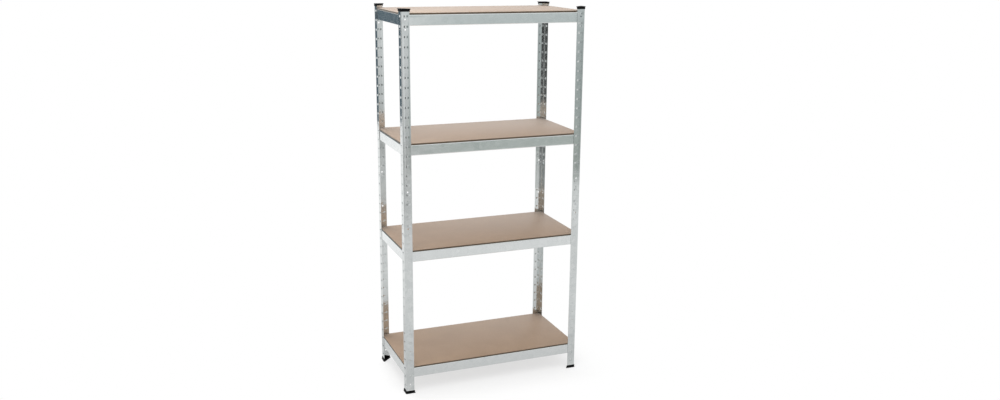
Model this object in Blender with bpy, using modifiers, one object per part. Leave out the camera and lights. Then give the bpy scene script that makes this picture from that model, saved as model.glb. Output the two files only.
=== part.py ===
"""Storage rack with four hardboard shelves, put together without bolts.

Four angle posts of galvanised sheet stand at the corners. Each is two equal lengths, butted end to end
over an inner splice whose studs fill the round holes of both lengths. Rows of straps are cut in both flanges
of a post and pressed outwards, each held at its two ends and open above and below. Beams lie inside the
posts with a hook behind a strap at each end, and a hardboard panel lies on the four beams of each tier. One
moulded plastic piece, used both ways up, is the foot and the cap of each post.

Metres, +Z up, +X along the front from left to right, +Y to the back. The origin is on the floor, under the
middle of the rack.
"""
import math

import bmesh
import bpy
from mathutils import Matrix, Vector

# Rack, measured over the outer faces of the posts
RACK_WIDTH = 0.800
RACK_DEPTH = 0.400
FIT_GAP = 0.0003

# Post length: an angle with equal legs and a rounded bend
POST_LENGTH = 0.812
POST_LEG = 0.035
POST_GAUGE = 0.0012
POST_BEND = 0.0026

# Straps pressed out of both flanges of a post, one above the other
STRAP_PITCH = 0.040
STRAP_END_MARGIN = 0.018
STRAP_FROM_CORNER = 0.0195
STRAP_WIDTH = 0.019
STRAP_RAMP = 0.007
STRAP_HEIGHT = 0.008
STRAP_PROUD = 0.0022
STRAP_GAUGE = 0.0009

# Round holes, two near each end of a post length
HOLE_RADIUS = 0.0035
HOLE_FROM_STRAP = 0.012
HOLES_PER_END = 2

# Splice inside the butted ends
SPLICE_ABOVE = 0.056
SPLICE_BELOW = 0.056
SPLICE_GAUGE = 0.0012
SPLICE_EDGE = 0.003
STUD_PROUD = 0.0008

# Beam: a channel of thinner sheet with a wide top flange
BEAM_HEIGHT = 0.043
BEAM_GAUGE = 0.0010
BEAM_BEND = 0.0030
BEAM_TOP_FLANGE = 0.018
BEAM_BOTTOM_FLANGE = 0.009
BEAM_ABOVE_STRAP = 0.006
FLANGE_CLEARANCE = 0.0012

# Shelf panel
BOARD_THICKNESS = 0.006
BOARD_CLEARANCE = 0.0010
BOARD_EDGE = 0.0006

# Foot and cap moulding
MOULDING_PLATE = 0.0030
MOULDING_SKIRT = 0.0085
MOULDING_GRIP = 0.0050
MOULDING_WALL = 0.0016
MOULDING_FLARE = 0.0030
MOULDING_TOE = 0.0020

# Strap that carries each tier: counted up from the lower end of the length, or down from its upper end
TIERS = (("lower", 2), ("lower", -5), ("upper", 6), ("upper", -1))

# Corners of the rack: side along X, side along Y and quarter turns of the post
CORNERS = {"front_left": (-1, -1, 0), "front_right": (1, -1, 1), "back_right": (1, 1, 2), "back_left": (-1, 1, 3)}

# Facets of bends and round holes, how far a cutter passes through, and the least angle of a sharp edge
ARC_STEPS = 3
HOLE_SIDES = 8
THROUGH = 0.002
SHARP_ANGLE = 50.0


def collection(name):
    """A collection linked to the scene."""
    made = bpy.data.collections.new(name)
    bpy.context.scene.collection.children.link(made)
    return made


def steel(name, color, roughness):
    """Metal sheet with a zinc coat."""
    return principled(name, color, roughness, 1.0)


def principled(name, color, roughness, metallic):
    material = bpy.data.materials.new(name)
    material.use_nodes = True
    shader = material.node_tree.nodes["Principled BSDF"]
    shader.inputs["Base Color"].default_value = (*color, 1.0)
    shader.inputs["Roughness"].default_value = roughness
    shader.inputs["Metallic"].default_value = metallic
    return material


def arc(center, radius, start, end):
    """Points on a circle about the center, from one angle to another, in degrees."""
    points = []
    for step in range(ARC_STEPS + 1):
        angle = math.radians(start + (end - start) * step / ARC_STEPS)
        points.append((center[0] + radius * math.cos(angle), center[1] + radius * math.sin(angle)))
    return points


def angle_outline(corner, tip, gauge, bend):
    """Section of an angle: outer corner at (corner, corner), legs along +X and +Y that end at tip."""
    center = (corner + bend, corner + bend)
    outer = arc(center, bend, 180.0, 270.0)
    inner = arc(center, bend - gauge, 270.0, 180.0)
    return outer + [(tip, corner), (tip, corner + gauge)] + inner + [(corner + gauge, tip), (corner, tip)]


def channel_outline():
    """Section of a beam: outer face of the web on X = 0, top on Y = 0, flanges towards +X."""
    top = (BEAM_BEND, -BEAM_BEND)
    bottom = (BEAM_BEND, BEAM_BEND - BEAM_HEIGHT)
    outer = arc(top, BEAM_BEND, 90.0, 180.0) + arc(bottom, BEAM_BEND, 180.0, 270.0)
    inner_bend = BEAM_BEND - BEAM_GAUGE
    inner = arc(bottom, inner_bend, 270.0, 180.0) + arc(top, inner_bend, 180.0, 90.0)
    lower_tip = [(BEAM_BOTTOM_FLANGE, -BEAM_HEIGHT), (BEAM_BOTTOM_FLANGE, BEAM_GAUGE - BEAM_HEIGHT)]
    upper_tip = [(BEAM_TOP_FLANGE, -BEAM_GAUGE), (BEAM_TOP_FLANGE, 0.0)]
    return outer + lower_tip + inner + upper_tip


def strap_outline(inset, back):
    """Plan of a strap, or of what lies behind it: X along the flange from its middle, Y out of its face.

    A ramp rises from each end to a flat crest. Inset moves the ramps and the crest inwards, and back is how
    far the outline reaches behind the post's face.
    """
    slope = STRAP_PROUD / STRAP_RAMP
    crest = STRAP_PROUD - inset

    def half_width(out):
        return STRAP_WIDTH / 2 - (out + inset * math.hypot(1.0, slope)) / slope

    return [(-half_width(-back), -back), (half_width(-back), -back), (half_width(crest), crest),
            (-half_width(crest), crest)]


def welded(source):
    """Mesh of an object as its modifiers leave it, closed, with its faces pointing out and its bends smooth."""
    bpy.context.view_layer.update()
    graph = bpy.context.evaluated_depsgraph_get()
    mesh = bpy.data.meshes.new_from_object(source.evaluated_get(graph))
    work = bmesh.new()
    work.from_mesh(mesh)
    bmesh.ops.remove_doubles(work, verts=work.verts, dist=0.000001)
    bmesh.ops.recalc_face_normals(work, faces=work.faces)
    work.to_mesh(mesh)
    work.free()
    mesh.materials.clear()
    mesh.shade_smooth()
    mesh.set_sharp_from_angle(angle=math.radians(SHARP_ANGLE))
    return mesh


def extruded(name, outline, length):
    """A closed outline in the XY plane made solid, centered on Z."""
    curve = bpy.data.curves.new(name, "CURVE")
    curve.dimensions = "2D"
    curve.fill_mode = "BOTH"
    curve.extrude = length / 2
    spline = curve.splines.new("POLY")
    spline.points.add(len(outline) - 1)
    for point, (x, y) in zip(spline.points, outline):
        point.co = (x, y, 0.0, 1.0)
    spline.use_cyclic_u = True
    draft = bpy.data.objects.new(name, curve)
    cutters.objects.link(draft)
    mesh = welded(draft)
    bpy.data.objects.remove(draft)
    return mesh


def slab(name, outline, low, high):
    """A closed outline made solid between two heights."""
    mesh = extruded(name, outline, high - low)
    mesh.transform(Matrix.Translation((0.0, 0.0, (low + high) / 2)))
    return mesh


def cylinder(name, radius, length):
    """A cylinder centered on the origin, along Y."""
    work = bmesh.new()
    bmesh.ops.create_cone(work, cap_ends=True, segments=HOLE_SIDES, radius1=radius, radius2=radius, depth=length,
                          matrix=Matrix.Rotation(math.pi / 2, 4, "X"))
    mesh = bpy.data.meshes.new(name)
    work.to_mesh(mesh)
    work.free()
    return mesh


def copies(name, body, matrices):
    """One mesh that holds the body at each of the places."""
    work = bmesh.new()
    for matrix in matrices:
        placed = body.copy()
        placed.transform(matrix)
        work.from_mesh(placed)
        bpy.data.meshes.remove(placed)
    mesh = bpy.data.meshes.new(name)
    work.to_mesh(mesh)
    work.free()
    return mesh


def box(name, low, high):
    """Block between two opposite corners."""
    low = Vector(low)
    high = Vector(high)
    work = bmesh.new()
    bmesh.ops.create_cube(work, size=1.0)
    bmesh.ops.scale(work, vec=high - low, verts=work.verts)
    bmesh.ops.translate(work, vec=(low + high) / 2, verts=work.verts)
    mesh = bpy.data.meshes.new(name)
    work.to_mesh(mesh)
    work.free()
    return mesh


def shaped(name, mesh, *changes):
    """The mesh after Booleans: each change is an operation and the meshes that it joins or cuts with."""
    draft = bpy.data.objects.new(name, mesh)
    cutters.objects.link(draft)
    for number, (operation, tools) in enumerate(changes):
        work = bmesh.new()
        for tool in tools:
            work.from_mesh(tool)
        tool_mesh = bpy.data.meshes.new(f"{name}_{operation.lower()}_{number}")
        work.to_mesh(tool_mesh)
        work.free()
        cutter = bpy.data.objects.new(tool_mesh.name, tool_mesh)
        cutter.hide_render = True
        cutter.display_type = "WIRE"
        cutters.objects.link(cutter)
        boolean = draft.modifiers.new(operation, "BOOLEAN")
        boolean.operation = operation
        boolean.solver = "EXACT"
        boolean.object = cutter
    result = welded(draft)
    for made in list(cutters.objects):
        bpy.data.objects.remove(made)
    result.name = name
    return result


def place(name, mesh, material, parent, location=(0.0, 0.0, 0.0), turn=0.0):
    """A named part of the rack, set on its parent and turned about the vertical."""
    if not mesh.materials:
        mesh.materials.append(material)
    part = bpy.data.objects.new(name, mesh)
    rack.objects.link(part)
    part.parent = parent
    part.location = location
    part.rotation_euler = (0.0, 0.0, turn)
    flats = part.modifiers.new("flats_beside_bends", "WEIGHTED_NORMAL")
    flats.keep_sharp = True
    return part


def frame_point(name, location, turn=0.0):
    """Empty that carries a corner or a tier of the rack."""
    empty = bpy.data.objects.new(name, None)
    empty.empty_display_size = POST_LEG
    rack.objects.link(empty)
    empty.location = location
    empty.rotation_euler = (0.0, 0.0, turn)
    return empty


def strap_heights():
    """Heights of the straps above the lower end of a post length, in the middle of its length."""
    count = int((POST_LENGTH - 2 * STRAP_END_MARGIN) / STRAP_PITCH + 1e-6) + 1
    first = (POST_LENGTH - (count - 1) * STRAP_PITCH) / 2
    return [first + row * STRAP_PITCH for row in range(count)]


def hole_heights():
    """Heights of the round holes: beside the outermost straps, on the side of the middle."""
    low = [height + HOLE_FROM_STRAP for height in strap_heights()[:HOLES_PER_END]]
    return low + [POST_LENGTH - height for height in reversed(low)]


def on_flanges(from_corner, depth, heights):
    """Places on both flanges of a post, at a depth behind the outer face: X along it, Y out of it, Z up."""
    places = []
    for height in heights:
        places.append(Matrix.Translation((from_corner, depth, height)) @ Matrix.Rotation(math.pi, 4, "Z"))
        places.append(Matrix.Translation((depth, from_corner, height)) @ Matrix.Rotation(math.pi / 2, 4, "Z"))
    return places


def post_mesh():
    """One length of a post: outer corner on the Z axis, lower end on Z = 0, legs along +X and +Y."""
    blank = slab("post", angle_outline(0.0, POST_LEG, POST_GAUGE, POST_BEND), 0.0, POST_LENGTH)
    strap = extruded("strap", strap_outline(0.0, POST_GAUGE / 2), STRAP_HEIGHT)
    window = extruded("window", strap_outline(STRAP_GAUGE, POST_GAUGE + FIT_GAP), STRAP_HEIGHT)
    hole = cylinder("hole", HOLE_RADIUS, POST_GAUGE + 2 * THROUGH)
    rows = on_flanges(STRAP_FROM_CORNER, 0.0, strap_heights())
    drilled = on_flanges(POST_LEG / 2, POST_GAUGE / 2, hole_heights())
    return shaped("post", blank, ("UNION", [copies("straps", strap, rows)]),
                  ("DIFFERENCE", [copies("windows", window, rows), copies("holes", hole, drilled)]))


def splice_mesh():
    """Inner angle over the joint of a post, with the joint on Z = 0."""
    corner = POST_GAUGE + FIT_GAP
    section = angle_outline(corner, POST_LEG - SPLICE_EDGE, SPLICE_GAUGE, POST_BEND)
    blank = slab("splice", section, -SPLICE_BELOW, SPLICE_ABOVE)
    from_end = hole_heights()[:HOLES_PER_END]
    covered = [height for height in from_end if height + HOLE_RADIUS < SPLICE_ABOVE]
    covered += [-height for height in from_end if height + HOLE_RADIUS < SPLICE_BELOW]
    inner = corner + SPLICE_GAUGE / 2
    stud = cylinder("stud", HOLE_RADIUS - FIT_GAP, inner + STUD_PROUD)
    seats = on_flanges(POST_LEG / 2, (inner - STUD_PROUD) / 2, covered)
    return shaped("splice", blank, ("UNION", [copies("studs", stud, seats)]))


def beam_mesh(name, span, end_clearance, flange_setback):
    """A beam along X under Z = 0 with its web's outer face on Y = 0 and its flanges towards +Y.

    Span is the rack's size over the posts in that direction, end clearance is from there to the web's end,
    and flange setback from there to the flanges' ends. Each end has a hook that sits behind a strap, and a
    round hole that meets the post's own where the beam hangs from the outermost strap.
    """
    half = span / 2 - end_clearance
    blank = extruded(name, channel_outline(), 2 * half)
    blank.transform(Matrix(((0, 0, 1, 0), (1, 0, 0, 0), (0, 1, 0, 0), (0, 0, 0, 1))))
    face = POST_GAUGE + FIT_GAP

    def ends(from_corner, y, z):
        outwards = Matrix.Rotation(math.pi, 4, "Z")
        return [Matrix.Translation((side * (span / 2 - from_corner), y, z)) @ outwards for side in (-1, 1)]

    hook = extruded("hook", strap_outline(STRAP_GAUGE + FIT_GAP, face + BEAM_GAUGE / 2), STRAP_HEIGHT - 2 * FIT_GAP)
    hole = cylinder("hole", HOLE_RADIUS, BEAM_GAUGE + 2 * THROUGH)
    hooks = copies("hooks", hook, ends(STRAP_FROM_CORNER, -face, -BEAM_ABOVE_STRAP))
    cuts = [copies("holes", hole, ends(POST_LEG / 2, BEAM_GAUGE / 2, -BEAM_ABOVE_STRAP - HOLE_FROM_STRAP))]
    if flange_setback > end_clearance:
        start = span / 2 - flange_setback
        reach = BEAM_TOP_FLANGE + THROUGH
        cuts += [box("end", (start, BEAM_BEND, -BEAM_HEIGHT - THROUGH), (half + THROUGH, reach, THROUGH)),
                 box("end", (-half - THROUGH, BEAM_BEND, -BEAM_HEIGHT - THROUGH), (-start, reach, THROUGH))]
    return shaped(name, blank, ("UNION", [hooks]), ("DIFFERENCE", cuts))


def board_mesh():
    """Shelf panel: its corners reach into the corners of the posts."""
    margin = POST_GAUGE + BOARD_CLEARANCE
    half_x = RACK_WIDTH / 2 - margin
    half_y = RACK_DEPTH / 2 - margin
    draft = bpy.data.objects.new("board", box("board", (-half_x, -half_y, 0.0), (half_x, half_y, BOARD_THICKNESS)))
    cutters.objects.link(draft)
    eased = draft.modifiers.new("eased_edge", "BEVEL")
    eased.width = BOARD_EDGE
    eased.segments = 1
    mesh = welded(draft)
    bpy.data.objects.remove(draft)
    return mesh


def corner_outline(out, tip, waist):
    """Plan of the moulding: two outer sides about the post's bend, two ends, and a side across its opening."""
    bend = POST_BEND + out
    return arc((POST_BEND, POST_BEND), bend, 180.0, 270.0) + [(tip, -out), (tip, waist), (waist, tip), (-out, tip)]


def moulding_mesh():
    """Foot of a post, with its plate's underside on Z = 0: the post's outer corner is on the Z axis.

    A skirt goes round the outside of the post, and a lower hollow grip fills the post's inner corner.
    """
    tip = POST_LEG + MOULDING_TOE
    inside = POST_GAUGE + FIT_GAP
    waist = inside + MOULDING_WALL
    grip_top = MOULDING_PLATE + MOULDING_GRIP
    skirt_top = MOULDING_PLATE + MOULDING_SKIRT
    beyond = skirt_top + THROUGH
    plate = slab("plate", corner_outline(MOULDING_FLARE, tip + MOULDING_TOE, waist), 0.0, MOULDING_PLATE)
    body = slab("body", corner_outline(FIT_GAP + MOULDING_WALL, tip, waist), MOULDING_PLATE / 2, skirt_top)
    bed = slab("bed", angle_outline(-FIT_GAP, POST_LEG + FIT_GAP, inside + FIT_GAP, POST_BEND + FIT_GAP),
               MOULDING_PLATE, beyond)
    over_grip = slab("over_grip", [(inside, inside), (tip + THROUGH, inside), (tip + THROUGH, tip + THROUGH),
                                   (inside, tip + THROUGH)], grip_top, beyond)
    across = tip + waist - MOULDING_WALL * math.sqrt(2)
    well = slab("well", [(waist, waist), (across - waist, waist), (waist, across - waist)], MOULDING_PLATE, beyond)
    return shaped("moulding", plate, ("UNION", [body]), ("DIFFERENCE", [bed]), ("DIFFERENCE", [over_grip]),
                  ("DIFFERENCE", [well]))


for leftover in list(bpy.data.objects):
    bpy.data.objects.remove(leftover)
rack = collection("storage_rack")
cutters = collection("cutters")

post_steel = steel("post_steel", (0.60, 0.62, 0.63), 0.38)
beam_steel = steel("beam_steel", (0.63, 0.65, 0.65), 0.42)
splice_steel = steel("splice_steel", (0.50, 0.52, 0.53), 0.45)
hardboard = principled("hardboard", (0.42, 0.30, 0.21), 0.70, 0.0)
black_plastic = principled("black_plastic", (0.02, 0.02, 0.02), 0.50, 0.0)

post = post_mesh()
splice = splice_mesh()
moulding = moulding_mesh()
board = board_mesh()
web_inset = POST_GAUGE + FIT_GAP
web_end = web_inset + BEAM_BEND + FIT_GAP
long_beam = beam_mesh("long_beam", RACK_WIDTH, web_end, web_end)
side_beam = beam_mesh("side_beam", RACK_DEPTH, web_end, web_inset + BEAM_TOP_FLANGE + FLANGE_CLEARANCE)

# Posts: foot, lower length, splice, upper length and cap, one above the other at each corner
post_foot = MOULDING_PLATE + FIT_GAP
joint = post_foot + POST_LENGTH + FIT_GAP / 2
upper_foot = post_foot + POST_LENGTH + FIT_GAP
rack_top = upper_foot + POST_LENGTH + FIT_GAP + MOULDING_PLATE
upside_down = Matrix.Rotation(math.pi, 3, Vector((1.0, 1.0, 0.0))).to_euler()
for corner, (side_x, side_y, quarters) in CORNERS.items():
    at = (side_x * RACK_WIDTH / 2, side_y * RACK_DEPTH / 2, 0.0)
    stand = frame_point(f"corner_{corner}", at, quarters * math.pi / 2)
    place(f"foot_{corner}", moulding, black_plastic, stand)
    place(f"post_lower_{corner}", post, post_steel, stand, (0.0, 0.0, post_foot))
    place(f"splice_{corner}", splice, splice_steel, stand, (0.0, 0.0, joint))
    place(f"post_upper_{corner}", post, post_steel, stand, (0.0, 0.0, upper_foot))
    cap = place(f"cap_{corner}", moulding, black_plastic, stand, (0.0, 0.0, rack_top))
    cap.rotation_euler = upside_down

# Tiers: four beams hung in the straps, and a panel lying on them
rows = strap_heights()
across_x = RACK_WIDTH / 2 - web_inset
across_y = RACK_DEPTH / 2 - web_inset
for number, (length, row) in enumerate(TIERS, start=1):
    start = post_foot if length == "lower" else upper_foot
    tier = frame_point(f"tier_{number}", (0.0, 0.0, start + rows[row] + BEAM_ABOVE_STRAP))
    place(f"beam_{number}_front", long_beam, beam_steel, tier, (0.0, -across_y, 0.0))
    place(f"beam_{number}_back", long_beam, beam_steel, tier, (0.0, across_y, 0.0), math.pi)
    place(f"beam_{number}_left", side_beam, beam_steel, tier, (-across_x, 0.0, 0.0), -math.pi / 2)
    place(f"beam_{number}_right", side_beam, beam_steel, tier, (across_x, 0.0, 0.0), math.pi / 2)
    place(f"shelf_board_{number}", board, hardboard, tier, (0.0, 0.0, FIT_GAP))
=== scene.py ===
import math

import bpy
import numpy as np
from mathutils import Matrix


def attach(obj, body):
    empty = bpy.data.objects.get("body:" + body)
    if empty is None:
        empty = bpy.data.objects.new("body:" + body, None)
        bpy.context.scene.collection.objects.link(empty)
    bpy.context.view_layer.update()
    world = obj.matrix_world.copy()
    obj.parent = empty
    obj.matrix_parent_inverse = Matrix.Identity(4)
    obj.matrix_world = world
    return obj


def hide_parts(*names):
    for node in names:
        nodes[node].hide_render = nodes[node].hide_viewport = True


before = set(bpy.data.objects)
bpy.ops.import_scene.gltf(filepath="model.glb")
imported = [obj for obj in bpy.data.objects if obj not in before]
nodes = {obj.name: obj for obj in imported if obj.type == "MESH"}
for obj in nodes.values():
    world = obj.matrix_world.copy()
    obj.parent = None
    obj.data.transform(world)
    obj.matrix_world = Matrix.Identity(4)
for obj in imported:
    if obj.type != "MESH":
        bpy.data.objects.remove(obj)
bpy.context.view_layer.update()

# Camera: in front of the rack's left end, a little above its top shelf, looking down at its middle.
# The lens is on its own axis, with no shift, so that the rack stands in the frame from every side.
SENSOR_MM, LENS_MM, CAMERA_PLACE = 36.0, 34.95, (-1.4721, -3.9080, 1.8585)
HEADING, DOWNWARD, TILT = 0.3836, 0.2527, 0.0099
camera_data = bpy.data.cameras.new("camera")
camera_data.sensor_width = SENSOR_MM
camera_data.lens = LENS_MM
camera = bpy.data.objects.new("camera", camera_data)
bpy.context.scene.collection.objects.link(camera)
aim = (Matrix.Rotation(-HEADING, 4, "Z") @ Matrix.Rotation(math.pi / 2 - DOWNWARD, 4, "X")
       @ Matrix.Rotation(TILT, 4, "Z"))
camera.matrix_world = Matrix.Translation(CAMERA_PLACE) @ aim
bpy.context.scene.camera = camera

# Posts: angles of galvanised sheet about 1.2 mm thick, folded once with a small round bend. Rows of straps are
# cut in both flanges and pressed outwards, and two round holes are punched near each end of a length.
POST_LENGTH, POST_LEG, POST_GAUGE, POST_BEND = 0.812, 0.035, 0.0012, 0.0026
STRAP_PITCH, FIRST_STRAP, STRAPS = 0.040, 0.026, 20
STRAP_FROM_CORNER, STRAP_WIDTH, STRAP_RAMP = 0.0195, 0.019, 0.007
STRAP_HEIGHT, STRAP_PROUD, STRAP_GAUGE = 0.008, 0.0022, 0.0009
HOLE_RADIUS, HOLE_FROM_STRAP, HOLE_PATCH = 0.0035, 0.012, 0.0050
RACK_WIDTH, RACK_DEPTH, PLASTIC_PLATE, FIT_GAP = 0.800, 0.400, 0.0030, 0.0003
STRAP_LINES, BEND_LINES, HOLE_LINES = 13, 7, 7
BESIDE_STRAP, BESIDE_BEND, SHARP_ANGLE = 0.003, 0.00015, math.radians(40.0)
CRYSTAL_LEAN, CRYSTAL_WANDER, WANDER_SCALE = 0.010, 0.006, 55.0
ZINC_CLOUD_SCALE, CLOUD_SHARE, CRYSTAL_SHARE = 16.0, 0.45, 0.55
WAVE_SCALE, WAVE_STRENGTH, WAVE_DEPTH = 30.0, 0.15, 0.0010
FINE_SCALE, FINE_STRENGTH, FINE_DEPTH = 420.0, 0.03, 0.0002


def adder(tree):
    """A function that adds a node to the tree, with values or links for its inputs, and its settings by name."""
    def add(kind, inputs=(), **settings):
        node = tree.nodes.new(kind)
        for key, value in settings.items():
            setattr(node, key, value)
        for socket, value in dict(inputs).items():
            if isinstance(value, bpy.types.NodeSocket):
                tree.links.new(value, node.inputs[socket])
            else:
                node.inputs[socket].default_value = value
        return node

    return add


def graph(name):
    """A new node material: itself, its tree, its shader and its function for adding nodes."""
    material = bpy.data.materials.new(name)
    material.use_nodes = True
    tree = material.node_tree
    return material, tree, tree.nodes["Principled BSDF"], adder(tree)


def ramp(add, factor, *stops):
    """A colour ramp on the factor: each stop is a position and a colour."""
    node = add("ShaderNodeValToRGB", {"Fac": factor})
    elements = node.color_ramp.elements
    while len(elements) < len(stops):
        elements.new(0.5)
    for element, (position, color) in zip(elements, stops):
        element.position = position
        element.color = (*color, 1.0)
    return node.outputs["Color"]


def spread(add, value, ends, results, **settings):
    """The value carried in proportion from one pair of ends to another, and held at them."""
    inputs = {"Value": value, "From Min": ends[0], "From Max": ends[1], "To Min": results[0], "To Max": results[1]}
    return add("ShaderNodeMapRange", inputs, **settings).outputs["Result"]


def zinc_coat(name, dark, light, smooth, rough, crystals_to_metre):
    """Hot-dip zinc: crystals one to two centimetres across under a broad cloudiness.

    Each crystal has its own grey and gloss, and leans a little: its colour, less a half, is added to the normal.
    """
    material, tree, shader, add = graph(name)
    place = add("ShaderNodeTexCoord").outputs["Object"]
    wander = add("ShaderNodeTexNoise", {"Vector": place, "Scale": WANDER_SCALE, "Detail": 3.0}).outputs["Color"]
    bent = add("ShaderNodeVectorMath", {0: wander, 1: (CRYSTAL_WANDER,) * 3, 2: place}, operation="MULTIPLY_ADD")
    crystals = add("ShaderNodeTexVoronoi", {"Vector": bent.outputs["Vector"], "Scale": crystals_to_metre,
                                            "Randomness": 1.0})
    parts = add("ShaderNodeSeparateColor", {"Color": crystals.outputs["Color"]})
    cloud = add("ShaderNodeTexNoise", {"Vector": place, "Scale": ZINC_CLOUD_SCALE, "Detail": 5.0, "Roughness": 0.6})
    share = add("ShaderNodeMath", {0: parts.outputs["Red"], 1: CRYSTAL_SHARE}, operation="MULTIPLY")
    mixed = add("ShaderNodeMath", {0: cloud.outputs["Fac"], 1: CLOUD_SHARE, 2: share.outputs["Value"]},
                operation="MULTIPLY_ADD")
    tree.links.new(ramp(add, mixed.outputs["Value"], (0.15, dark), (0.85, light)), shader.inputs["Base Color"])
    tree.links.new(spread(add, parts.outputs["Green"], (0.0, 1.0), (smooth, rough)), shader.inputs["Roughness"])
    fine = add("ShaderNodeTexNoise", {"Vector": place, "Scale": FINE_SCALE, "Detail": 4.0}).outputs["Fac"]
    waves = add("ShaderNodeTexNoise", {"Vector": place, "Scale": WAVE_SCALE, "Detail": 2.0}).outputs["Fac"]
    lean = add("ShaderNodeVectorMath", {0: crystals.outputs["Color"], 1: (0.5, 0.5, 0.5)}, operation="SUBTRACT")
    leant = add("ShaderNodeVectorMath", {0: lean.outputs["Vector"], 1: (CRYSTAL_LEAN,) * 3,
                                         2: add("ShaderNodeNewGeometry").outputs["Normal"]}, operation="MULTIPLY_ADD")
    facet = add("ShaderNodeVectorMath", {0: leant.outputs["Vector"]}, operation="NORMALIZE")
    low = add("ShaderNodeBump", {"Height": waves, "Strength": WAVE_STRENGTH, "Distance": WAVE_DEPTH,
                                 "Normal": facet.outputs["Vector"]})
    high = add("ShaderNodeBump", {"Height": fine, "Strength": FINE_STRENGTH, "Distance": FINE_DEPTH,
                                  "Normal": low.outputs["Normal"]})
    tree.links.new(high.outputs["Normal"], shader.inputs["Normal"])
    shader.inputs["Metallic"].default_value = 1.0
    return material


def folded(run, start, flats, radius):
    """Outer face of a sheet folded through right angles, as points and outward normals along its developed width.

    Each flat is a straight line from the last corner, and each bend a quarter circle: its center lies one radius
    behind the face, and the normal turns from the old outward direction to the old line's own direction.
    """
    run = np.asarray(run)[:, None]
    corner, along, out, done = np.array(start), np.array((-1.0, 0.0)), np.array((0.0, -1.0)), 0.0
    points = np.zeros((len(run), 2))
    normals = np.zeros((len(run), 2))
    for number, flat in enumerate(flats):
        points = np.where(run >= done, corner + (run - done) * along, points)
        normals = np.where(run >= done, out, normals)
        corner, done = corner + flat * along, done + flat
        if number < len(flats) - 1:
            turn = np.clip((run - done) / radius, 0.0, math.pi / 2)
            center = corner - radius * out
            normal = out * np.cos(turn) + along * np.sin(turn)
            points = np.where(run > done, center + radius * normal, points)
            normals = np.where(run > done, normal, normals)
            corner, done = center + radius * along, done + radius * math.pi / 2
            out, along = along, -out
    return points, normals


def bridge(distance, width, slope, height):
    """Lift of a pressed strap at a distance from its middle: a smooth step up each slope to a flat crest."""
    step = np.clip((width / 2 - np.abs(distance)) / slope, 0.0, 1.0)
    return height * step * step * (3 - 2 * step)


def pressed_grid(s, t, straps, holes, cuts=()):
    """Quads of a sheet on the lines s and t, with straps slit along s, round holes and cut-away corners.

    A strap is (first s, last s, first t, last t, lifts): the grid's rows at its two slits are doubled, and the
    strap takes the second of each. A hole is (first s, last s, first t, last t, s, t, radius): each point of its
    patch's border is joined to the circle's point in the same direction. Gives s, t, lift and quads.
    """
    count = len(t)
    ids = np.arange(len(s) * count).reshape(len(s), count)
    quads = np.stack((ids[:-1, :-1], ids[1:, :-1], ids[1:, 1:], ids[:-1, 1:]), axis=-1)
    kept = np.ones(quads.shape[:2], bool)
    at_s, at_t = (part.ravel() for part in np.meshgrid(s, t, indexing="ij"))
    new_s, new_t, new_lift, rings = [at_s], [at_t], [np.zeros(len(at_s))], []
    total = len(at_s)
    for i0, i1, j0, j1, lifts in straps:
        block = ids[i0:i1 + 1, j0:j1 + 1].copy()
        inner = i1 - i0 - 1
        for edge in (0, j1 - j0):
            block[1:-1, edge] = total + np.arange(inner)
            new_s.append(s[i0 + 1:i1])
            new_t.append(np.full(inner, t[j0 + edge]))
            new_lift.append(lifts[1:-1])
            total += inner
        new_lift[0][ids[i0:i1 + 1, j0 + 1:j1]] = lifts[:, None]
        quads[i0:i1, j0:j1] = np.stack((block[:-1, :-1], block[1:, :-1], block[1:, 1:], block[:-1, 1:]), axis=-1)
    for i0, i1, j0, j1, mid_s, mid_t, radius in holes:
        kept[i0:i1, j0:j1] = False
        ring = np.concatenate((ids[i0:i1, j0], ids[i1, j0:j1], ids[i1:i0:-1, j1], ids[i0, j1:j0:-1]))
        angle = np.arctan2(at_t[ring] - mid_t, at_s[ring] - mid_s)
        circle = total + np.arange(len(ring))
        new_s.append(mid_s + radius * np.cos(angle))
        new_t.append(mid_t + radius * np.sin(angle))
        new_lift.append(np.zeros(len(ring)))
        rings.append(np.stack((ring, np.roll(ring, -1), np.roll(circle, -1), circle), axis=-1))
        total += len(ring)
    for i0, i1, j0, j1 in cuts:
        kept[i0:i1, j0:j1] = False
    quads = np.concatenate([quads[kept]] + rings)
    used, quads = np.unique(quads, return_inverse=True)
    joined = [np.concatenate(parts)[used] for parts in (new_s, new_t, new_lift)]
    return (*joined, quads.reshape(-1, 4))


def walled(outer, inner, quads):
    """Closed sheet: the outer face, the inner face turned round, and a wall along every edge that has one quad."""
    count = len(outer)
    edges = np.stack((quads, np.roll(quads, -1, axis=1)), axis=-1).reshape(-1, 2)
    keys = np.sort(edges, axis=1) @ np.array((count, 1))
    found, first, times = np.unique(keys, return_index=True, return_counts=True)
    a, b = edges[first[times == 1]].T
    wall = np.stack((b, a, a + count, b + count), axis=-1)
    return np.concatenate((outer, inner)), np.concatenate((quads, quads[:, ::-1] + count, wall))


def piece(name, points, faces, node, slot, *materials):
    """A finished piece at the origin, smooth but for its sharp edges, which stands for a node of the frame."""
    mesh = bpy.data.meshes.new(name)
    mesh.from_pydata(points.tolist(), [], faces if isinstance(faces, list) else faces.tolist())
    for material in materials:
        mesh.materials.append(material)
    mesh.shade_smooth()
    mesh.set_sharp_from_angle(angle=SHARP_ANGLE)
    made = bpy.data.objects.new(name, mesh)
    bpy.context.scene.collection.objects.link(made)
    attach(made, "root")
    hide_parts(node)
    return made


def line(lines, value):
    """Index of the line nearest to a value."""
    return int(np.argmin(np.abs(lines - value)))


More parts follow.
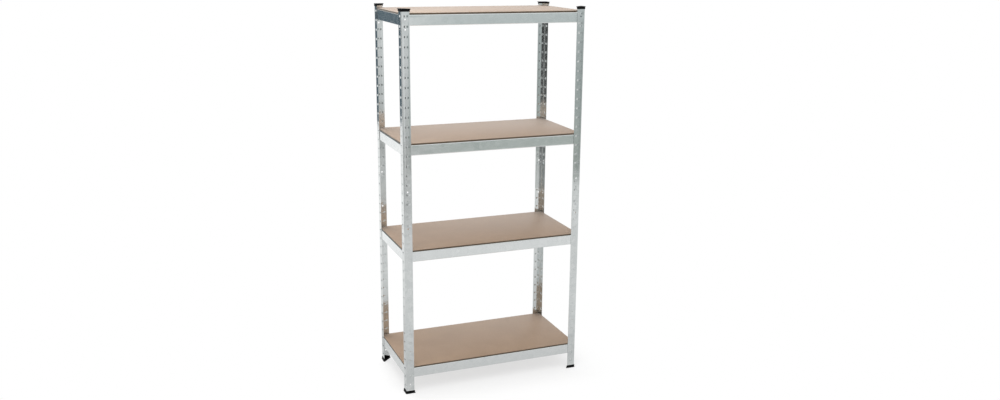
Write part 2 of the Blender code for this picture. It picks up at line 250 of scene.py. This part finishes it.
def post_sheet():
    """One length of a post from its lower end, with its outer corner on the Z axis and its legs along +X and +Y.

    The lines of its grid crowd where the sheet curves, and one close beside each bend keeps the flats flat.
    """
    flat, bend = POST_LEG - POST_BEND, POST_BEND * math.pi / 2
    middles = (POST_LEG - STRAP_FROM_CORNER, POST_LEG - 2 * POST_BEND + bend + STRAP_FROM_CORNER)
    drills = (POST_LEG / 2, POST_LEG - 2 * POST_BEND + bend + POST_LEG / 2)
    across = np.linspace(-STRAP_WIDTH / 2, STRAP_WIDTH / 2, STRAP_LINES)
    s = np.concatenate([[0.0, middles[0] - STRAP_WIDTH / 2 - BESIDE_STRAP], across + middles[0],
                        [flat - BESIDE_BEND], np.linspace(flat, flat + bend, BEND_LINES),
                        [flat + bend + BESIDE_BEND], across + middles[1],
                        [middles[1] + STRAP_WIDTH / 2 + BESIDE_STRAP, 2 * flat + bend]])
    rows = FIRST_STRAP + STRAP_PITCH * np.arange(STRAPS)
    low = rows[:2] + HOLE_FROM_STRAP
    drilled = np.concatenate((low, POST_LENGTH - low))
    t = np.sort(np.concatenate([[0.0, POST_LENGTH], rows - STRAP_HEIGHT / 2, rows + STRAP_HEIGHT / 2]
                               + [height + np.linspace(-HOLE_PATCH, HOLE_PATCH, HOLE_LINES)
                                  for height in drilled]))
    straps, holes = [], []
    for middle, drill in zip(middles, drills):
        i0, i1 = line(s, middle - STRAP_WIDTH / 2), line(s, middle + STRAP_WIDTH / 2)
        lifts = bridge(s[i0:i1 + 1] - middle, STRAP_WIDTH, STRAP_RAMP, STRAP_PROUD)
        straps += [(i0, i1, line(t, row - STRAP_HEIGHT / 2), line(t, row + STRAP_HEIGHT / 2), lifts) for row in rows]
        k0 = line(s, drill - HOLE_PATCH)
        holes += [(k0, k0 + HOLE_LINES - 1, line(t, height - HOLE_PATCH), line(t, height + HOLE_PATCH), drill, height,
                   HOLE_RADIUS) for height in drilled]
    at_s, at_t, lift, quads = pressed_grid(s, t, straps, holes)
    points, normals = folded(at_s, (POST_LEG, 0.0), (flat, flat), POST_BEND)
    gauge = POST_GAUGE + (STRAP_GAUGE - POST_GAUGE) * lift / STRAP_PROUD
    outer = np.column_stack((points + normals * lift[:, None], at_t))
    inner = np.column_stack((points + normals * (lift - gauge)[:, None], at_t))
    return walled(outer, inner, quads[:, ::-1])


def turned(points, quarters, move):
    """The points turned about Z by quarter turns and then moved."""
    sine, cosine = round(math.sin(quarters * math.pi / 2)), round(math.cos(quarters * math.pi / 2))
    turn = np.array(((cosine, sine, 0.0), (-sine, cosine, 0.0), (0.0, 0.0, 1.0)))
    return points @ turn + np.array(move)


CORNERS = {"front_left": (-1, -1, 0), "front_right": (1, -1, 1), "back_right": (1, 1, 2), "back_left": (-1, 1, 3)}
LOWER_FOOT = PLASTIC_PLATE + FIT_GAP
UPPER_FOOT = LOWER_FOOT + POST_LENGTH + FIT_GAP
post_zinc = zinc_coat("post_zinc", dark=(0.673, 0.703, 0.702), light=(0.767, 0.793, 0.788), smooth=0.10, rough=0.16,
                      crystals_to_metre=60.0)
post_points, post_faces = post_sheet()
for corner, (side_x, side_y, quarters) in CORNERS.items():
    for length, foot in (("lower", LOWER_FOOT), ("upper", UPPER_FOOT)):
        placed = turned(post_points, quarters, (side_x * RACK_WIDTH / 2, side_y * RACK_DEPTH / 2, foot))
        piece(f"angle_{length}_{corner}", placed, post_faces, f"post_{length}_{corner}", "post_steel", post_zinc)

# Splices: short inner angles of the same sheet over the joint of two post lengths. Their studs fill the round
# holes nearest the joint, so that only the studs and the edge of the angle show.
splice_zinc = zinc_coat("splice_zinc", dark=(0.650, 0.681, 0.679), light=(0.718, 0.744, 0.738), smooth=0.18,
                        rough=0.24, crystals_to_metre=80.0)
for corner in CORNERS:
    nodes[f"splice_{corner}"].data.materials.clear()
    nodes[f"splice_{corner}"].data.materials.append(splice_zinc)

# Beams: channels of galvanised sheet 1 mm thick with a wide top flange for the panel. A hook pressed out of each
# end of the web sits behind a strap of the post, and a round hole beside it meets the post's own.
BEAM_HEIGHT, BEAM_GAUGE, BEAM_BEND, BEAM_TOP, BEAM_BOTTOM = 0.043, 0.0010, 0.0030, 0.018, 0.009
BEAM_ABOVE_STRAP, FLANGE_SETBACK = 0.006, 0.0207
HOOK_WIDTH, HOOK_RAMP, HOOK_HEIGHT, HOOK_PROUD = 0.0206, 0.0080, 0.0074, 0.0025
SPAN_LINES, SHOULDER_LINES, LEAST_STEP = 9, 9, 0.0002
TIER_TOPS = (0.1153, 0.6353, 1.0876, 1.6076)
WEB_INSET = POST_GAUGE + FIT_GAP
WEB_END = WEB_INSET + BEAM_BEND + FIT_GAP


def beam_sheet(span, cut_back):
    """A beam along X under Z = 0, with its web's outer face on Y = 0 and its flanges towards +Y."""
    half = span / 2 - WEB_END
    hook, drill = span / 2 - STRAP_FROM_CORNER, span / 2 - POST_LEG / 2
    setback = span / 2 - FLANGE_SETBACK
    end = [hook + np.linspace(-HOOK_WIDTH / 2, HOOK_WIDTH / 2, STRAP_LINES), [half]]
    if cut_back:
        end.append([setback])
    end = np.unique(np.round(np.concatenate(end), 6))
    end = end[np.concatenate(([True], np.diff(end) > LEAST_STEP))]
    if cut_back:
        end[line(end, setback)] = setback
    s = np.concatenate((-end[::-1], np.linspace(-end[0], end[0], SPAN_LINES)[1:-1], end))
    bend = BEAM_BEND * math.pi / 2
    flats = (BEAM_BOTTOM - BEAM_BEND, BEAM_HEIGHT - 2 * BEAM_BEND, BEAM_TOP - BEAM_BEND)
    web = flats[0] + bend
    shoulder = web + flats[1]
    slit = (HOOK_HEIGHT / 2 - BEAM_ABOVE_STRAP + BEAM_BEND) / BEAM_BEND
    hook_top = shoulder + BEAM_BEND * math.asin(slit)
    hook_low = shoulder + BEAM_BEND - BEAM_ABOVE_STRAP - HOOK_HEIGHT / 2
    drill_at = shoulder + BEAM_BEND - BEAM_ABOVE_STRAP - HOLE_FROM_STRAP
    t = np.sort(np.concatenate([[0.0, flats[0] - BESIDE_BEND], np.linspace(flats[0], web, BEND_LINES),
                                [web + BESIDE_BEND], drill_at + np.linspace(-HOLE_PATCH, HOLE_PATCH, HOLE_LINES),
                                [hook_low, shoulder - BESIDE_BEND],
                                np.linspace(shoulder, shoulder + bend, SHOULDER_LINES), [hook_top],
                                [shoulder + bend + BESIDE_BEND, sum(flats) + 2 * bend]]))
    straps, holes, cuts = [], [], []
    for side in (-1, 1):
        i0, i1 = sorted((line(s, side * (hook - HOOK_WIDTH / 2)), line(s, side * (hook + HOOK_WIDTH / 2))))
        lifts = bridge(s[i0:i1 + 1] - side * hook, HOOK_WIDTH, HOOK_RAMP, HOOK_PROUD)
        straps.append((i0, i1, line(t, hook_low), line(t, hook_top), lifts))
        k0, k1 = sorted((line(s, side * (drill - HOLE_PATCH)), line(s, side * (drill + HOLE_PATCH))))
        holes.append((k0, k1, line(t, drill_at - HOLE_PATCH), line(t, drill_at + HOLE_PATCH), side * drill, drill_at,
                      HOLE_RADIUS))
        if cut_back:
            edge, last = (0, line(s, -setback)) if side < 0 else (line(s, setback), len(s) - 1)
            cuts += [(edge, last, 0, line(t, flats[0])), (edge, last, line(t, shoulder + bend), len(t) - 1)]
    at_s, at_t, lift, quads = pressed_grid(s, t, straps, holes, cuts)
    points, normals = folded(at_t, (BEAM_BOTTOM, -BEAM_HEIGHT), flats, BEAM_BEND)
    outer = np.column_stack((at_s, points + normals * lift[:, None]))
    inner = np.column_stack((at_s, points + normals * (lift - BEAM_GAUGE)[:, None]))
    return walled(outer, inner, quads)


beam_zinc = zinc_coat("beam_zinc", dark=(0.790, 0.820, 0.819), light=(0.840, 0.866, 0.863), smooth=0.14, rough=0.20,
                      crystals_to_metre=50.0)
long_beam = beam_sheet(RACK_WIDTH, False)
side_beam = beam_sheet(RACK_DEPTH, True)
ACROSS_X, ACROSS_Y = RACK_WIDTH / 2 - WEB_INSET, RACK_DEPTH / 2 - WEB_INSET
for tier, top in enumerate(TIER_TOPS, start=1):
    for side, (points, faces), quarters, move in (
            ("front", long_beam, 0, (0.0, -ACROSS_Y, top)), ("back", long_beam, 2, (0.0, ACROSS_Y, top)),
            ("left", side_beam, 3, (-ACROSS_X, 0.0, top)), ("right", side_beam, 1, (ACROSS_X, 0.0, top))):
        piece(f"channel_{tier}_{side}", turned(points, quarters, move), faces, f"beam_{tier}_{side}", "beam_steel",
              beam_zinc)

# Shelf panels: hardboard 6 mm thick, pressed smooth on its face and on a wire screen at its back, and sawn to size.
# Each lies loose on the four top flanges of its tier.
BOARD_THICKNESS, BOARD_CLEARANCE, BOARD_EASE, EASE_KNEE = 0.006, 0.0010, 0.0006, 0.3
BOARD_CLOUD_SCALE, FIBRES_TO_METRE, SPECK_TONES = 7.0, (260.0, 900.0, 600.0), (0.86, 1.08)
GLOSS_PLAY, GRAIN_DEPTH, BOARD_SPECULAR, BOARD_SHEEN, SHEEN_ROUGHNESS = 0.08, 0.0002, 0.55, 0.40, 0.35
SCREEN_SCALE, BACK_CLOUD_SCALE, PIT_STRENGTH, PIT_DEPTH, BACK_ROUGHNESS = 100.0, 12.0, 0.6, 0.0004, 0.85


def fibre_board(name, dark, light, roughness, pits):
    """Pressed wood fibre: a cloudy brown, specks of darker fibre and a fine grain."""
    material, tree, shader, add = graph(name)
    place = add("ShaderNodeTexCoord").outputs["Object"]
    cloud = add("ShaderNodeTexNoise", {"Vector": place, "Scale": BOARD_CLOUD_SCALE, "Detail": 6.0, "Roughness": 0.65})
    tone = ramp(add, cloud.outputs["Fac"], (0.30, dark), (0.70, light))
    stretch = add("ShaderNodeMapping", {"Vector": place, "Scale": FIBRES_TO_METRE})
    fibre = add("ShaderNodeTexNoise", {"Vector": stretch.outputs["Vector"], "Scale": 1.0, "Detail": 4.0,
                                       "Distortion": 1.5})
    speck = spread(add, fibre.outputs["Fac"], (0.35, 0.65), SPECK_TONES)
    shaded = add("ShaderNodeVectorMath", {0: tone, 1: speck}, operation="MULTIPLY")
    tree.links.new(shaded.outputs["Vector"], shader.inputs["Base Color"])
    gloss = spread(add, cloud.outputs["Fac"], (0.0, 1.0), (roughness - GLOSS_PLAY, roughness + GLOSS_PLAY))
    tree.links.new(gloss, shader.inputs["Roughness"])
    grain = add("ShaderNodeBump", {"Height": fibre.outputs["Fac"], "Strength": pits, "Distance": GRAIN_DEPTH})
    tree.links.new(grain.outputs["Normal"], shader.inputs["Normal"])
    shader.inputs["Specular IOR Level"].default_value = BOARD_SPECULAR
    shader.inputs["Sheen Weight"].default_value = BOARD_SHEEN
    shader.inputs["Sheen Roughness"].default_value = SHEEN_ROUGHNESS
    return material


def screen_back(name, dark, light):
    """The board's back: rows of small square pits left by a wire screen, two waves multiplied, on a rough brown."""
    material, tree, shader, add = graph(name)
    place = add("ShaderNodeTexCoord").outputs["Object"]
    across, along = (add("ShaderNodeTexWave", {"Vector": place, "Scale": SCREEN_SCALE, "Distortion": 0.4},
                         bands_direction=way).outputs["Fac"] for way in ("X", "Y"))
    woven = add("ShaderNodeMath", {0: across, 1: along}, operation="MULTIPLY")
    cloud = add("ShaderNodeTexNoise", {"Vector": place, "Scale": BACK_CLOUD_SCALE, "Detail": 5.0})
    tree.links.new(ramp(add, cloud.outputs["Fac"], (0.3, dark), (0.7, light)), shader.inputs["Base Color"])
    pits = add("ShaderNodeBump", {"Height": woven.outputs["Value"], "Strength": PIT_STRENGTH, "Distance": PIT_DEPTH})
    tree.links.new(pits.outputs["Normal"], shader.inputs["Normal"])
    shader.inputs["Roughness"].default_value = BACK_ROUGHNESS
    return material


def board_solid(half_x, half_y):
    """A panel lying on Z = 0: rings of a rectangle drawn in by the ease at the top and bottom of a sawn edge."""
    corners = np.array(((-1, -1), (1, -1), (1, 1), (-1, 1)), float)
    knee = BOARD_EASE * EASE_KNEE
    rings = ((BOARD_EASE, 0.0), (knee, knee), (0.0, BOARD_EASE), (0.0, BOARD_THICKNESS - BOARD_EASE),
             (knee, BOARD_THICKNESS - knee), (BOARD_EASE, BOARD_THICKNESS))
    points = np.concatenate([np.column_stack((corners * (half_x - inset, half_y - inset), np.full(4, height)))
                             for inset, height in rings])
    ids = np.arange(len(points)).reshape(len(rings), 4)
    around = np.roll(ids, -1, axis=1)
    walls = np.stack((ids[:-1], around[:-1], around[1:], ids[1:]), axis=-1).reshape(-1, 4)
    return points, [ids[-1].tolist(), ids[0, ::-1].tolist()] + walls.tolist()


board_face = fibre_board("hardboard_face", dark=(0.362, 0.239, 0.150), light=(0.424, 0.288, 0.190), roughness=0.50,
                         pits=0.12)
board_edge = fibre_board("hardboard_sawn_edge", dark=(0.085, 0.062, 0.040), light=(0.135, 0.100, 0.066),
                         roughness=0.85, pits=0.60)
board_back = screen_back("hardboard_screen_back", dark=(0.20, 0.135, 0.085), light=(0.30, 0.21, 0.14))
inset = POST_GAUGE + BOARD_CLEARANCE
board_points, board_faces = board_solid(RACK_WIDTH / 2 - inset, RACK_DEPTH / 2 - inset)
for tier, top in enumerate(TIER_TOPS, start=1):
    panel = piece(f"panel_{tier}", board_points + np.array((0.0, 0.0, top + FIT_GAP)), board_faces,
                  f"shelf_board_{tier}", "hardboard", board_face, board_back, board_edge)
    panel.data.polygons.foreach_set("material_index", [0, 1] + [2] * (len(board_faces) - 2))

# Feet and caps: one moulding in black plastic, used both ways up. A skirt wraps the outside of the post, a hollow
# grip fills its inner corner, and the plate stands a little proud all round.
PLASTIC_ROUND, ROUND_STEPS, PLASTIC_SPECULAR = 0.0005, 2, 0.08
GRAIN_SCALE, GRAIN_STRENGTH, MOULD_GRAIN_DEPTH, RUB_SCALE = 1500.0, 0.25, 0.0001, 60.0


def moulded_plastic(name, dark, rubbed_light, smooth, rough):
    """Black plastic from a textured mould: a fine even grain with a soft sheen, a little paler where it is rubbed."""
    material, tree, shader, add = graph(name)
    place = add("ShaderNodeTexCoord").outputs["Object"]
    grain = add("ShaderNodeTexNoise", {"Vector": place, "Scale": GRAIN_SCALE, "Detail": 3.0}).outputs["Fac"]
    rubbed = add("ShaderNodeTexNoise", {"Vector": place, "Scale": RUB_SCALE, "Detail": 5.0}).outputs["Fac"]
    tree.links.new(ramp(add, rubbed, (0.35, dark), (0.75, rubbed_light)), shader.inputs["Base Color"])
    tree.links.new(spread(add, rubbed, (0.0, 1.0), (smooth, rough)), shader.inputs["Roughness"])
    shader.inputs["Specular IOR Level"].default_value = PLASTIC_SPECULAR
    bump = add("ShaderNodeBump", {"Height": grain, "Strength": GRAIN_STRENGTH, "Distance": MOULD_GRAIN_DEPTH})
    tree.links.new(bump.outputs["Normal"], shader.inputs["Normal"])
    return material


def rounded_copy(name, node, slot, material):
    """A copy of a node's mesh, merged and with its moulded edges rounded, which stands for the node."""
    source = nodes[node].data
    count = len(source.vertices)
    points = np.zeros(count * 3, np.float32)
    source.vertices.foreach_get("co", points)
    keys = np.round(points.reshape(-1, 3), 6)
    merged, places = np.unique(keys, axis=0, return_inverse=True)
    corners = np.zeros(len(source.loops), np.int32)
    source.loops.foreach_get("vertex_index", corners)
    faces = places.reshape(-1)[corners].reshape(-1, 3)
    made = piece(name, merged, faces, node, slot, material)
    edges = made.modifiers.new("moulded_edges", "BEVEL")
    edges.width = PLASTIC_ROUND
    edges.segments = ROUND_STEPS
    edges.limit_method = "ANGLE"
    edges.angle_limit = SHARP_ANGLE
    edges.use_clamp_overlap = True


black_plastic = moulded_plastic("moulded_black_plastic", dark=(0.0030, 0.0030, 0.0034),
                                rubbed_light=(0.0085, 0.0085, 0.0092), smooth=0.48, rough=0.66)
for corner in CORNERS:
    for end in ("foot", "cap"):
        rounded_copy(f"moulding_{end}_{corner}", f"{end}_{corner}", "black_plastic", black_plastic)

# Floor: a pale studio floor that runs on into white, and keeps the rack's soft shadow round its feet. In the
# steel's reflections it is darkened with painted shade close to the rack, and duller again far in front of it,
# most of all at the left.
FLOOR_REACH, FLOOR_GREY, FLOOR_ROUGHNESS, SHADOW_REACH, LEAST_WHITE = 60.0, 0.70, 0.9, 0.20, 0.68
NEAR_REACH, NEAR_SHADE_TONE, FRONT_TONE, BACK_FADE = 0.8, 0.61, 0.79, (0.6, 2.4)
FAR_FADE, FAR_WIDTH, FAR_TONES = (-2.2, -3.4), (-0.8, 1.5), (0.25, 0.88)
WHITE = (1.0, 1.0, 1.0, 1.0)


def light_path(add):
    """1 on rays from the camera, from gloss and from clear materials, and 0 on rays that light other surfaces."""
    path = add("ShaderNodeLightPath")
    seen = add("ShaderNodeMath", {0: path.outputs["Is Camera Ray"], 1: path.outputs["Is Glossy Ray"]},
               operation="MAXIMUM")
    return add("ShaderNodeMath", {0: seen.outputs["Value"], 1: path.outputs["Is Transmission Ray"]},
               operation="MAXIMUM").outputs["Value"]


def reflected_tone(add, place, distance):
    """The floor's tone in gloss: painted shade close to the rack, lifting with the distance from it, white behind it,
    and down far in front.
    """
    spot = add("ShaderNodeSeparateXYZ", {"Vector": place})
    # Painted shade: the floor's tone in reflections is darkest close to the rack.
    near = spread(add, distance, (0.0, NEAR_REACH), (NEAR_SHADE_TONE, FRONT_TONE))
    behind = spread(add, spot.outputs["Y"], BACK_FADE, (near, 1.0))
    ahead = spread(add, spot.outputs["X"], FAR_WIDTH, FAR_TONES)
    return spread(add, spot.outputs["Y"], FAR_FADE, (behind, ahead))


floor_paint, tree, shader, add = graph("studio_floor")
seen = light_path(add)
place = add("ShaderNodeTexCoord").outputs["Object"]
side = add("ShaderNodeVectorMath", {0: place}, operation="ABSOLUTE").outputs["Vector"]
past = add("ShaderNodeVectorMath", {0: side, 1: (RACK_WIDTH / 2, RACK_DEPTH / 2, 0.0)}, operation="SUBTRACT")
outside = add("ShaderNodeVectorMath", {0: past.outputs["Vector"], 1: (0.0, 0.0, 0.0)}, operation="MAXIMUM")
distance = add("ShaderNodeVectorMath", {0: outside.outputs["Vector"]}, operation="LENGTH").outputs["Value"]
fade = spread(add, distance, (0.0, SHADOW_REACH), (LEAST_WHITE, 1.0), interpolation_type="SMOOTHSTEP")
share = add("ShaderNodeMath", {0: fade, 1: seen}, operation="MULTIPLY").outputs["Value"]
glossy = add("ShaderNodeLightPath").outputs["Is Glossy Ray"]
glow = spread(add, glossy, (0.0, 1.0), (1.0, reflected_tone(add, place, distance)))
white = add("ShaderNodeEmission", {"Color": WHITE, "Strength": glow})
blend = add("ShaderNodeMixShader", {0: share, 1: shader.outputs["BSDF"], 2: white.outputs["Emission"]})
tree.links.new(blend.outputs["Shader"], tree.nodes["Material Output"].inputs["Surface"])
tree.links.new(spread(add, seen, (0.0, 1.0), (FLOOR_GREY, 1.0)), shader.inputs["Base Color"])
shader.inputs["Roughness"].default_value = FLOOR_ROUGHNESS
shader.inputs["Specular IOR Level"].default_value = 0.0
floor_mesh = bpy.data.meshes.new("floor")
floor_corners = [(x * FLOOR_REACH, y * FLOOR_REACH, 0.0) for x, y in ((-1, -1), (1, -1), (1, 1), (-1, 1))]
floor_mesh.from_pydata(floor_corners, [], [(0, 1, 2, 3)])
floor_mesh.materials.append(floor_paint)
floor = bpy.data.objects.new("floor", floor_mesh)
bpy.context.scene.collection.objects.link(floor)

# Studio: a white room light all round, a broad soft light above the front and another above the back, and plain
# upright screens outside the picture, which show only in the reflections of the steel.
ROOM_LIGHT, LAMP_SIZE, LAMP_AIM, FRONT_WATTS, BACK_WATTS = 0.62, 3.5, (0.0, 0.0, 0.8), 95.0, 92.0
world = bpy.data.worlds.new("studio")
bpy.context.scene.world = world
world.use_nodes = True
room = world.node_tree.nodes["Background"]
room.inputs["Color"].default_value = WHITE
add = adder(world.node_tree)
level = spread(add, light_path(add), (0.0, 1.0), (ROOM_LIGHT, 1.0))
world.node_tree.links.new(level, room.inputs["Strength"])


def soft_light(name, place, target, size, watts):
    """A square area light aimed at a point."""
    data = bpy.data.lights.new(name, "AREA")
    data.size = size
    data.energy = watts
    lamp = bpy.data.objects.new(name, data)
    bpy.context.scene.collection.objects.link(lamp)
    back = np.array(place) - np.array(target)
    yaw = math.atan2(back[0], -back[1])
    lamp.rotation_euler = (math.atan2(math.hypot(back[0], back[1]), back[2]), 0.0, yaw)
    lamp.location = place


soft_light("front_light", (-1.5, -2.5, 4.5), LAMP_AIM, LAMP_SIZE, FRONT_WATTS)
soft_light("back_light", (-0.6, 2.3, 4.4), LAMP_AIM, LAMP_SIZE, BACK_WATTS)


def screen(name, start, end, bottom, top, *bands):
    """An upright screen between two places on the floor, seen only in reflections: each band is a height and tone."""
    material, tree, _, add = graph(name)
    place = add("ShaderNodeTexCoord").outputs["Object"]
    height = add("ShaderNodeSeparateXYZ", {"Vector": place}).outputs["Z"]
    share = add("ShaderNodeMath", {0: height, 1: top}, operation="DIVIDE").outputs["Value"]
    tone = ramp(add, share, *((level / top, color) for level, color in bands))
    glow = add("ShaderNodeEmission", {"Color": tone, "Strength": 1.0})
    tree.links.new(glow.outputs["Emission"], tree.nodes["Material Output"].inputs["Surface"])
    mesh = bpy.data.meshes.new(name)
    mesh.from_pydata([(*start, bottom), (*end, bottom), (*end, top), (*start, top)], [], [(0, 1, 2, 3)])
    mesh.materials.append(material)
    card = bpy.data.objects.new(name, mesh)
    bpy.context.scene.collection.objects.link(card)
    card.visible_camera = False
    card.visible_diffuse = False
    card.visible_shadow = False


screen("left_screen", (-4.6, 0.4), (-2.1, 3.65), 0.0, 2.4, (0.0, (1.0, 1.0, 1.0)), (2.4, (1.0, 1.0, 1.0)))
screen("back_screen", (-2.1, 3.65), (0.9, 4.4), 0.45, 2.4, (0.5, (0.115, 0.155, 0.180)), (1.6, (0.090, 0.127, 0.154)))
SCREEN_TOP = 2.0
FRONT_SCREENS = {
    "camera_screen": ((-2.15, -4.2), (-0.90, -4.2), (0.1, (0.14, 0.14, 0.135)), (0.6, (0.08, 0.08, 0.08)),
                      (1.1, (0.04, 0.04, 0.04))),
    "bright_screen": ((-0.90, -4.2), (0.45, -4.2), (0.0, (0.95, 0.95, 0.95)), (2.0, (0.95, 0.95, 0.95))),
    "front_screen": ((0.45, -4.2), (0.90, -4.2), (0.05, (0.46, 0.46, 0.45)), (0.23, (0.47, 0.47, 0.47)),
                     (0.48, (0.63, 0.64, 0.64)), (0.85, (0.75, 0.75, 0.76)), (1.2, (0.79, 0.80, 0.805))),
    "right_screen": ((0.90, -4.2), (2.35, -3.4), (0.0, (0.49, 0.51, 0.50)), (0.12, (0.345, 0.375, 0.352)),
                     (0.22, (0.36, 0.39, 0.365)), (0.34, (0.46, 0.50, 0.475)), (0.70, (0.43, 0.47, 0.46)),
                     (1.15, (0.465, 0.505, 0.50)), (1.35, (0.58, 0.62, 0.62))),
    "near_side_screen": ((2.35, -3.4), (3.35, -2.2), (0.1, (0.23, 0.25, 0.25)), (0.9, (0.18, 0.205, 0.205))),
    "far_side_screen": ((3.35, -2.2), (4.6, -0.6), (0.1, (0.50, 0.52, 0.52)), (0.9, (0.50, 0.52, 0.52))),
}
for name, (start, end, *bands) in FRONT_SCREENS.items():
    screen(name, start, end, 0.0, SCREEN_TOP, *bands)

view_settings = bpy.context.scene.view_settings
view_settings.view_transform = "Standard"
